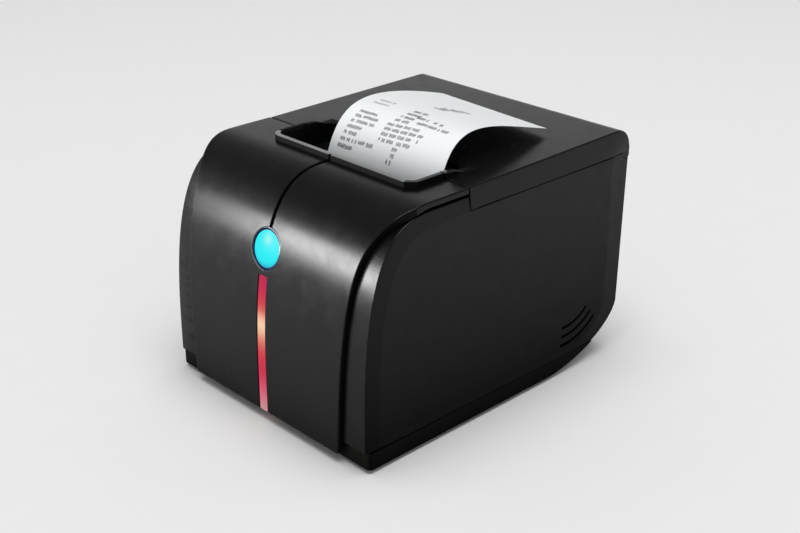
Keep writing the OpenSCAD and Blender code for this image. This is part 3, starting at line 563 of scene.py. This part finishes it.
def front_cover():
    rings = []
    r = COVER_EDGE_R
    for (y, z), (ny, nz) in cover_path(0):
        w = min(cover_half_at(z), LIP_X)
        depth = reach(*COVER_BOW, BOW, ny, nz) - reach(*PANEL_BOW, BOW, ny, nz) - 0.25
        t = max(0.0, min(1.0, (y - 24) / 12))
        depth += (min(depth, 2.7) - depth) * t * t * (3 - 2 * t)
        corner = [(w - r * (1 - math.cos(a)), r * (1 - math.sin(a)))
                  for a in [math.pi / 2 * i / 5 for i in range(6)]]
        right = [(w - 2.2, COVER_WALL + 0.05), (w - 2.2, depth), (w, depth)] + corner
        across = [(w - r) * k for k in (0.5, 0, -0.5)]
        section = right + [(x, 0) for x in across] + [(-x, h) for x, h in reversed(right)]
        section += [(x, COVER_WALL) for x in (-0.5 * w, 0, 0.5 * w)]
        rings.append([(x, y - ny * h, z - nz * h) for x, h in section])
    obj = loft("front_cover", rings)
    hole = lathe("tool", [(BUTTON_R + 0.8, -14), (BUTTON_R + 0.8, 10)], BUTTON, BUTTON_OUT, (1, 0, 0), 96)
    slot = STRIP_HALF + 0.3
    carve(obj, column(rim_plan(0, SEAM + 1), COVER_TOP - 8, COVER_TOP + 9), hole,
          block((-slot, -20, -1), (slot, 20, STRIP_Z[1] + 0.3)), groove_line())
    return soften(obj, 0.22, 40, 2)


cover = piece(front_cover(), "front_cover_skin", "base", "satin_black", MAT["satin_black"], "front_cover")
# The cover's side walls down in the gaps beside the panels get the near black matte: painted shade where those
# gaps lie dark.
second_finish(cover, MAT["inner_black"], lambda c, n: c.y < 30 and abs(n.x) > 0.75 and abs(c.x) > 40)


def light_strip():
    rings = []
    for (y, z), (ny, nz) in cover_path(0.15):
        if STRIP_Z[0] < z < STRIP_Z[1] - 0.5:
            rings.append(((y, z), (ny, nz)))
    first, last = rings[0], rings[-1]
    rings = [((first[0][0], STRIP_Z[0]), first[1])] + rings
    top = [p for p in cover_path(0.15) if p[0][1] >= STRIP_Z[1]][0]
    share = (STRIP_Z[1] - last[0][1]) / (top[0][1] - last[0][1])
    rings.append(((last[0][0] + (top[0][0] - last[0][0]) * share, STRIP_Z[1]), last[1]))
    h, r = STRIP_HALF, 0.6
    section = [(h, 2.2), (h, r), (h - 0.08, 0.25), (h - 0.3, 0.06), (h - 0.7, 0), (0, -0.1)]
    section += [(-x, d) for x, d in reversed(section[:-1])]
    return loft("strip", [[(x, y - ny * d, z - nz * d) for x, d in section] for (y, z), (ny, nz) in rings])


strip = light_strip()
piece(soften(strip, 0.15, 50), "light_strip_lens", "base", "strip_light", MAT["strip_light"], "light_strip")

dome = [(BUTTON_R * k, 0.5 - (BUTTON_R * k) ** 2 / 120) for k in (0, 0.15, 0.3, 0.45, 0.6, 0.75, 0.86)]
r0 = BUTTON_R
dome += [(r0 - 0.7, -0.14), (r0 - 0.35, -0.24), (r0 - 0.12, -0.42), (r0, -0.75), (r0, -3.5)]
dome += [(3, -3.5), (3, -8.5), (0, -8.5)]
button = lathe("feed_button_cap", dome, BUTTON, BUTTON_OUT, (1, 0, 0))
cap = piece(soften(button, 0, 60), "feed_button_cap", "button", "button_glow", MAT["button_glow"],
            "feed_button")


def off_axis(c):
    """How far a point is from the button's axis."""
    return (c - Vector(BUTTON)).cross(Vector(BUTTON_OUT)).length


second_finish(cap, MAT["ring_blue"], lambda c, n: off_axis(c) > BUTTON_R - BUTTON_RIM)
ring = [(r0 + 0.15, -4.8), (r0 + 0.15, -0.3), (r0 + 0.2, 0.02), (r0 + 0.35, 0.18), (r0 + 0.55, 0.16),
        (r0 + 0.7, 0.0), (r0 + 0.75, -0.3), (r0 + 0.75, -4.8), (r0 + 0.15, -4.8)]
button_ring = lathe("button_ring_trim", ring, BUTTON, BUTTON_OUT, (1, 0, 0))
piece(soften(button_ring, 0, 60), "button_ring_trim", "base", "ring_blue", MAT["ring_blue"], "button_ring")


# ---- side panels ------------------------------------------------------------------------

def vents():
    """Tools for the three curved slots near the right side's lower rear corner."""
    c = (134.9, 50.1)
    tools = []
    for r in (24.4, 29.4, 34.4):
        outer = arc(c, r + 0.75, -95, -47, 24)
        inner = arc(c, r - 0.75, -47, -95, 24)
        tools.append(slab(outer + inner, INNER_X - 1, HALF_W + 1))
    return tools


def side_panel():
    obj = side_form(panel_line, SIDE_ROOT_X)
    gap = 0.12
    root = SIDE_ROOT_X - 1
    carve(obj,
          slab(inside_line(WALL), root, INNER_X),
          block((root, SEAM - 1, 0), (INNER_X, REAR + 1, PANEL_TOP - WALL)),
          block((root, SEAM, 0), (INNER_X, REAR + 1, 123)),
          rod_x(root, HALF_W + 1, HINGE, GROOVE_R),
          block((root, RIM_Y - 0.5, 100), (RIM_X[1] + 0.3, SEAM + 1, 123)),
          block((40, SEAM, LID_LINE - gap), (80, REAR + 2, 130)),
          block((40, -10, -5), (80, REAR + 2, BASE_H + gap)), *vents())
    return soften(obj, 0.22, 32)


right = side_panel()
left = mirror(right)


def boss_pair(side):
    """The two screw bosses inside a side panel."""
    parts = []
    for y in (30, 94):
        p = block((59, y - 4, BASE_H), (INNER_X, y + 4, BASE_H + 12))
        parts.append(carve(p, column(circle((63, y), 1.5, 32), BASE_H - 1, BASE_H + 9)))
    return parts if side > 0 else [flip(p) for p in parts]


def flip(obj):
    other = mirror(obj)
    bpy.data.objects.remove(obj)
    return other


for obj, side, name in ((right, 1, "right_side_panel"), (left, -1, "left_side_panel")):
    whole = join(name + "_skin", [obj] + boss_pair(side))
    whole.data.set_sharp_from_angle(angle=math.radians(38))
    piece(whole, name + "_skin", "base", "textured_black", MAT["textured_black"], name)
    second_finish(whole, MAT["satin_black"],
                  lambda c, n: abs(n.x) < 0.6 and c.y < SEAM and c.z > BASE_H + 0.3)


# ---- lid --------------------------------------------------------------------------------

def ear_span(side):
    """The stretch in X that the lid leaves free for a hinge ear."""
    return sorted((side * (EAR[0] - EAR_GAP), side * (EAR[1] + EAR_GAP)))


def lid_shell():
    half = side_form(lid_line, 0)
    other = mirror(half)
    obj = carve(half, other, how="UNION")
    inner = ([(SEAM + 0.4, LID_LINE - 1), (SEAM + 0.4, top_at(SEAM) - WALL)]
             + arc(LID_CORNER, LID_CORNER_R - WALL, 90, 0) + [(rear_at(LID_LINE) - WALL, LID_LINE - 1)])
    hollow = slab(inner, -INNER_X, INNER_X)
    carve(hollow, rod_x(-INNER_X, INNER_X, HINGE, BARREL_R),
          block((-INNER_X, HINGE[0] - 3, HINGE[1]), (INNER_X, HINGE[0], HINGE[1] + 4)))
    tools = [block((-80, -10, -5), (80, SEAM + 0.4, 130)),
             block((-80, -10, -5), (80, REAR + 5, LID_LINE + 0.3)),
             hollow,
             block((-INNER_X, SEAM, LID_LINE - 1), (INNER_X, SEAM + 3, top_at(SEAM) - WALL)),
             block((RIM_X[0], SEAM - 1, 100), (RIM_X[1], PIT_Y[1] + 3, 128))]
    for s in (-1, 1):
        x = ear_span(s)
        tools += [rod_x(x[0], x[1], HINGE, GROOVE_R),
                  block((x[0], HINGE[0] - 3.3, HINGE[1] - 5), (x[1], HINGE[0] + 1, HINGE[1] + 3.5))]
    carve(obj, *tools)
    barrel = rod_x(-INNER_X, INNER_X, HINGE, BARREL_R)
    carve(barrel, *[block((ear_span(s)[0], 165, 100), (ear_span(s)[1], 185, 120)) for s in (-1, 1)])
    hub = rod_x(INNER_X - 0.01, EDGE_X, HINGE, HUB_R)
    carve(hub, block((60, REAR - 0.25, 100), (80, REAR + 9, 120)))
    carve(obj, barrel, mirror(hub), hub, how="UNION")
    return soften(obj, 0.22, 32)


piece(lid_shell(), "lid_skin", "lid", "satin_black", MAT["satin_black"], "lid_shell")


# ---- exit rim ---------------------------------------------------------------------------

def rim_front():
    outer, inner = rim_plan(0, SEAM - 0.2), rim_plan(RIM_T, SEAM - 0.2)
    # Each point is its share of the way in from the outer plan, with its height.
    section = [(0, PIT_FLOOR - 2), (0, RIM_TOP - 0.45), (0.03, RIM_TOP - 0.12), (0.1, RIM_TOP),
               (0.8, RIM_TOP), (0.83, RIM_TOP - 0.12), (0.86, RIM_TOP - 0.9), (1, RIM_TOP - 1.1),
               (1, PIT_FLOOR - 2)]
    rings = []
    for (ox, oy), (ix, iy) in zip(outer, inner):
        rings.append([(ox + (ix - ox) * t, oy + (iy - oy) * t, z) for t, z in section])
    obj = loft("rim", rings)
    carve(obj, block((-0.8, RIM_Y - 1, COVER_TOP - 1), (0.8, RIM_Y + 0.9, RIM_TOP + 1)))
    return soften(obj, 0.12, 50)


def band(c, n):
    """Whether a face is part of the rim's flat top."""
    return n.z > 0.8 and c.z > RIM_TOP - 0.3 and c.y < 70


rim = piece(rim_front(), "exit_rim_front_trim", "base", "inner_black", MAT["inner_black"], "exit_rim_front")
second_finish(rim, MAT["rim_grey"], lambda c, n: band(c, n) and c.y < 47 and c.x < 50)
second_finish(rim, MAT["gloss_black"], lambda c, n: c.x > 50 and n.z > 0.3 and c.z > COVER_TOP)


def rim_rear():
    """The half of the rim on the lid: two side rails, the pit's rear corners, its rear wall and its floor."""
    low, back = PIT_FLOOR - 2, PIT_Y[1] + 3
    parts = []
    for x0, x1 in ((RIM_X[0], PIT_X[0]), (PIT_X[1], RIM_X[1])):
        side = [(SEAM + 0.5, low), (SEAM + 0.5, RIM_TOP), (70, RIM_TOP - 0.5), (76, top_at(76)),
                (back, top_at(back)), (back, low)]
        parts.append(soften(slab(side, x0, x1), 0.5, 25, 3))
    for x, way in ((PIT_X[0], 1), (PIT_X[1], -1)):
        corner = [(x, PIT_Y[1])]
        for a in [math.pi / 2 * i / 10 for i in range(11)]:
            corner.append((x + way * PIT_R * (1 - math.sin(a)), PIT_Y[1] + PIT_R * (math.cos(a) - 1)))
        parts.append(column(corner[:-1], low, top_at(PIT_Y[1] - PIT_R) - 0.02))
    for a, b in (((PIT_X[0], PIT_Y[1], low), (PIT_X[1], back, top_at(PIT_Y[1]) - 0.02)),
                 ((PIT_X[0], 69, low), (PIT_X[1], PIT_Y[1], PIT_FLOOR)),
                 ((PIT_X[0], 64.8, low), (-34, 70, PIT_FLOOR)),
                 ((49.8, 64.8, low), (PIT_X[1], 70, PIT_FLOOR))):
        parts.append(soften(block(a, b), 0.3, 40, 2))
    return join("rim_rear", parts)


rail = piece(rim_rear(), "exit_rim_rear_trim", "lid", "inner_black", MAT["inner_black"], "exit_rim_rear")
second_finish(rail, MAT["gloss_black"], lambda c, n: c.x > 50 and c.z > COVER_TOP)


# ---- paper ------------------------------------------------------------------------------

TAIL_LEFT = ((66.9, 109.2), (76.6, 133.5), (86.7, 142.7), (150, 123.8))
TAIL_RIGHT = ((66.9, 109.2), (74.7, 147.1), (96.5, 137.2), (142.8, 124.6))


def bezier(p, t):
    return tuple((1 - t) ** 3 * p[0][i] + 3 * t * (1 - t) ** 2 * p[1][i] + 3 * t * t * (1 - t) * p[2][i]
                 + t ** 3 * p[3][i] for i in (0, 1))


def on_tail(u, v, lift=0.0):
    """A point of the printed tail: u across from the left edge, v along from the cutter."""
    def spot(u, v):
        a, b = bezier(TAIL_LEFT, v), bezier(TAIL_RIGHT, v)
        return Vector((WEB_X[0] + PAPER_W * u, a[0] + (b[0] - a[0]) * u, a[1] + (b[1] - a[1]) * u))
    p = spot(u, v)
    if lift:
        n = (spot(u + 0.01, v) - spot(u - 0.01, v)).cross(spot(u, v + 0.01) - spot(u, v - 0.01)).normalized()
        p += n * lift
    return tuple(p)


def paper_tail():
    nu, nv = 24, 72
    points, faces = [], []
    for lift in (0.05, 0.17):
        points += [on_tail(i / nu, j / nv, lift) for j in range(nv + 1) for i in range(nu + 1)]
    layer = (nu + 1) * (nv + 1)

    def q(i, j, k):
        return k * layer + j * (nu + 1) + i

    for j in range(nv):
        for i in range(nu):
            faces.append((q(i, j, 0), q(i, j + 1, 0), q(i + 1, j + 1, 0), q(i + 1, j, 0)))
            faces.append((q(i, j, 1), q(i + 1, j, 1), q(i + 1, j + 1, 1), q(i, j + 1, 1)))
    for j in range(nv):
        faces.append((q(0, j, 0), q(0, j, 1), q(0, j + 1, 1), q(0, j + 1, 0)))
        faces.append((q(nu, j, 0), q(nu, j + 1, 0), q(nu, j + 1, 1), q(nu, j, 1)))
    for i in range(nu):
        faces.append((q(i, 0, 0), q(i + 1, 0, 0), q(i + 1, 0, 1), q(i, 0, 1)))
        faces.append((q(i, nv, 0), q(i, nv, 1), q(i + 1, nv, 1), q(i + 1, nv, 0)))
    obj = make("tail", points, faces)
    obj.data.shade_smooth()
    obj.data.set_sharp_from_angle(angle=math.radians(40))
    return obj


tail_sheet = piece(paper_tail(), "paper_tail_sheet", "lid", "receipt_paper", MAT["receipt_paper"],
                   "paper_tail")


# The print is laid out on a sheet this long, which stretches with the tail, and its lines slant.
PRINT_RUN, SLANT = 76, 0.045


def print_marks(name, words, seed, pitch, tall, weight):
    """Words of small strokes that read as print from afar and spell nothing."""
    rng = random.Random(seed)
    points, faces = [], []

    def dab(u, v, w, h):
        n = len(points)
        corners = ((u, v), (u + w, v), (u + w, v + h), (u, v + h))
        points.extend(on_tail(a / PAPER_W, (b - SLANT * a) / PRINT_RUN, 0.2) for a, b in corners)
        faces.append((n, n + 1, n + 2, n + 3))

    for u0, v0, letters in words:
        x, y = u0 * PAPER_W, v0 * PRINT_RUN + SLANT * u0 * PAPER_W
        for _ in range(letters):
            w, h = pitch * 0.78, tall * rng.uniform(0.8, 1)
            if rng.random() < 0.93:
                dab(x, y, weight, h)
                dab(x + w - weight, y + rng.uniform(0, 0.3) * h, weight, 0.7 * h)
                for k in rng.sample((0, 0.42, 0.84), 2):
                    dab(x, y + k * h, w, weight * 0.9)
            x += pitch
    return make(name, points, faces)


# Each word is its place across, its place along and its number of letters.
words = []
for i, parts in enumerate((((0, 9),), ((0, 10), (0.165, 9)), ((0, 8),), ((0, 9),), ((0, 2), (0.05, 11)),
                           ((0, 4), (0.075, 9)), ((0, 11),))):
    words += [(0.07 + 0.006 * i + du, 0.078 + 0.052 * i, letters) for du, letters in parts]
words += [(0.52 + 0.01 * i, 0.062 + 0.041 * i, 3) for i in range(3)]
words += [(0.398 + 0.072 * k, 0.188 + 0.047 * i, 4) for i in range(4) for k in range(4)]
words += [(0.69, 0.235 + 0.047 * i, 3) for i in range(2)]
words += [(0.425 + 0.012 * i, 0.385 + 0.05 * i, 8) for i in range(4)]
words += [(0.55, 0.462, 5), (0.64, 0.455, 2), (0.69, 0.45, 3), (0.76, 0.44, 2), (0.6, 0.4, 6), (0.7, 0.39, 5),
          (0.79, 0.38, 6)]
marks = print_marks("print", words, 7, 1.2, 2.35, 0.34)
piece(marks, "printed_marks", "lid", "receipt_paper", MAT["print_grey"])
faint = [(0.11 + 0.01 * i, 0.53 + 0.05 * i, 10) for i in range(2)]
for i in range(5):
    faint.append((0.44 + 0.015 * abs(i - 2) + 0.03 * i, 0.68 + 0.02 * i, 9 - abs(i - 2)))
faint_marks = print_marks("print", faint, 11, 1.15, 1.5, 0.3)
piece(faint_marks, "faint_marks", "lid", "receipt_paper", MAT["print_faint"])

roll = lathe("roll", [(CORE_R, 0), (ROLL_R - 0.3, 0), (ROLL_R, 0.3), (ROLL_R, PAPER_W - 0.3),
                      (ROLL_R - 0.3, PAPER_W), (CORE_R, PAPER_W), (CORE_R, 0)],
             (WEB_X[0], *ROLL), (1, 0, 0), (0, 1, 0), 160)
piece(soften(roll, 0), "paper_roll_turns", "roll", "receipt_paper", MAT["receipt_paper"], "paper_roll")
bore = CORE_R - 2
core = lathe("core", [(bore, 0), (CORE_R, 0), (CORE_R, PAPER_W), (bore, PAPER_W), (bore, 0)],
             (WEB_X[0], *ROLL), (1, 0, 0), (0, 1, 0), 96)
piece(soften(core, 0), "roll_core_tube", "roll", "core_card", MAT["core_card"], "roll_core")
sleeve = [(3, 0), (PLATEN_R - 0.4, 0), (PLATEN_R, 0.4), (PLATEN_R, 81.6), (PLATEN_R - 0.4, 82), (3, 82), (3, 0)]
platen = lathe("platen", sleeve, (-33, *PLATEN), (1, 0, 0), (0, 1, 0), 96)
piece(soften(platen, 0), "platen_rubber_sleeve", "platen", "platen_rubber", MAT["platen_rubber"],
      "platen_roller")

# ---- the rest of the case ---------------------------------------------------------------

for node, slot, width in (("base_tray", "textured_black", 0.3), ("rear_panel", "textured_black", 0.3),
                          ("switch_housing", "gloss_black", 0.2), ("drawer_socket", "gloss_black", 0.2),
                          ("power_rocker", "gloss_black", 0.2), ("rubber_feet", "foot_rubber", 0.3),
                          ("cutter_cover", "inner_black", 0.2), ("lid_frame", "inner_black", 0.25)):
    body = {"power_rocker": "rocker", "lid_frame": "lid"}.get(node, "base")
    piece(copy_of(node, node + "_skin", width), node + "_skin", body, slot, MAT[slot], node)

# CAD nodes that keep their own mesh and get a finish.
plain = {
    "indicator_board": "board_green", "main_board": "board_green", "interface_board": "board_green",
    "frame_plate_left": "sheet_steel", "frame_plate_right": "sheet_steel", "frame_tie_bars": "bright_steel",
    "print_head": "head_ceramic", "head_heatsink": "heatsink_alloy", "head_springs": "bright_steel",
    "head_bracket": "sheet_steel", "head_ribbon": "ribbon_cream", "stepper_motor": "motor_can",
    "idler_pin": "bright_steel", "cutter_frame": "sheet_steel", "cutter_motor": "motor_can",
    "paper_bucket": "inner_black", "paper_web": "receipt_paper", "paper_sensor": "inner_black",
    "buzzer": "gloss_black", "dc_socket": "gloss_black", "usb_socket": "sheet_steel",
    "lan_socket": "sheet_steel", "hinge_pins": "bright_steel", "case_screws": "bright_steel",
    "fixed_blade": "blade_steel", "platen_bushings": "bush_brass", "platen_shaft": "bright_steel",
    "platen_gear": "gear_white", "idler_gear": "gear_white", "motor_pinion": "gear_brass",
    "moving_blade": "blade_steel", "cutter_pinion": "gear_brass",
}
for node, name in plain.items():
    data = nodes[node].data
    data.materials.clear()
    data.materials.append(MAT[name])

# ---- stage, light and camera --------------------------------------------------------------

FLOOR_HALF = 12
floor_mesh = bpy.data.meshes.new("floor")
corners = [(x * FLOOR_HALF, y * FLOOR_HALF, 0) for x, y in ((-1, -1), (1, -1), (1, 1), (-1, 1))]
floor_mesh.from_pydata(corners, [], [(0, 1, 2, 3)])
floor = bpy.data.objects.new("floor", floor_mesh)
bpy.context.scene.collection.objects.link(floor)
floor_mesh.materials.append(shader("floor_white", (0.9, 0.9, 0.9), 0.8, bump=0.0, vary=0.003))

scene = bpy.context.scene
scene.view_settings.view_transform = "Standard"

world = bpy.data.worlds.new("studio")
scene.world = world
world.use_nodes = True
wt = world.node_tree
back = wt.nodes["Background"]
where = wt.nodes.new("ShaderNodeTexCoord")
split = wt.nodes.new("ShaderNodeSeparateXYZ")
sky = wt.nodes.new("ShaderNodeValToRGB")
wt.links.new(where.outputs["Generated"], split.inputs[0])
wt.links.new(split.outputs["Z"], sky.inputs["Fac"])
wt.links.new(sky.outputs["Color"], back.inputs["Color"])
for e, (position, value) in zip([sky.color_ramp.elements.new(0.2), sky.color_ramp.elements.new(0.5),
                                 sky.color_ramp.elements[0], sky.color_ramp.elements[-1]],
                                ((0.3, 0.78), (0.5, 0.22), (0.0, 0.85), (1.0, 0.25))):
    e.position, e.color = position, (value, value, value, 1)
back.inputs["Strength"].default_value = 1.0


LAMP_TARGET = Vector((0, 0, 0.08))


def lamp(name, azimuth, elevation, distance, width, height, power):
    """A soft box that stands round the object at an azimuth (0 in front, 90 to the right) and faces it."""
    a, e = math.radians(azimuth), math.radians(elevation)
    data = bpy.data.lights.new(name, "AREA")
    data.shape, data.size, data.size_y, data.energy = "RECTANGLE", width, height, power
    obj = bpy.data.objects.new(name, data)
    scene.collection.objects.link(obj)
    way = Vector((math.sin(a) * math.cos(e), -math.cos(a) * math.cos(e), math.sin(e)))
    obj.location = LAMP_TARGET + way * distance
    obj.rotation_euler = (-way).to_track_quat("-Z", "Y").to_euler()
    return obj


def spare(light, *objects):
    """Keeps the light off the given objects."""
    group = bpy.data.collections.new(light.name + "_spares")
    light.light_linking.receiver_collection = group
    for obj in objects:
        group.objects.link(obj)
    for entry in group.collection_objects:
        entry.light_linking.link_state = "EXCLUDE"


def only(light, *objects):
    """Keeps the light on the given objects."""
    group = bpy.data.collections.new(light.name + "_targets")
    light.light_linking.receiver_collection = group
    for obj in objects:
        group.objects.link(obj)


lamp("overhead_box", 60, 84, 3.0, 2.4, 2.4, 70)
spare(lamp("front_box", -25.5, 6.8, 0.72, 0.48, 0.157, 8.0), floor, tail_sheet)
only(lamp("paper_fill", -10, 12, 1.2, 0.8, 0.8, 6.5), tail_sheet, marks)

camera = bpy.data.cameras.new("camera")
camera.lens, camera.sensor_width = 58.32, 36
camera.shift_x, camera.shift_y = -0.0043, -0.0216
eye = bpy.data.objects.new("camera", camera)
scene.collection.objects.link(eye)
target, azimuth, elevation, distance = at(0, 90, 60), math.radians(46.21), math.radians(23.73), 0.669
away = Vector((math.sin(azimuth) * math.cos(elevation), -math.cos(azimuth) * math.cos(elevation),
               math.sin(elevation)))
eye.location = target + away * distance
eye.rotation_mode = "QUATERNION"
eye.rotation_quaternion = (-away).to_track_quat("-Z", "Y")
scene.camera = eye

bpy.context.view_layer.update()
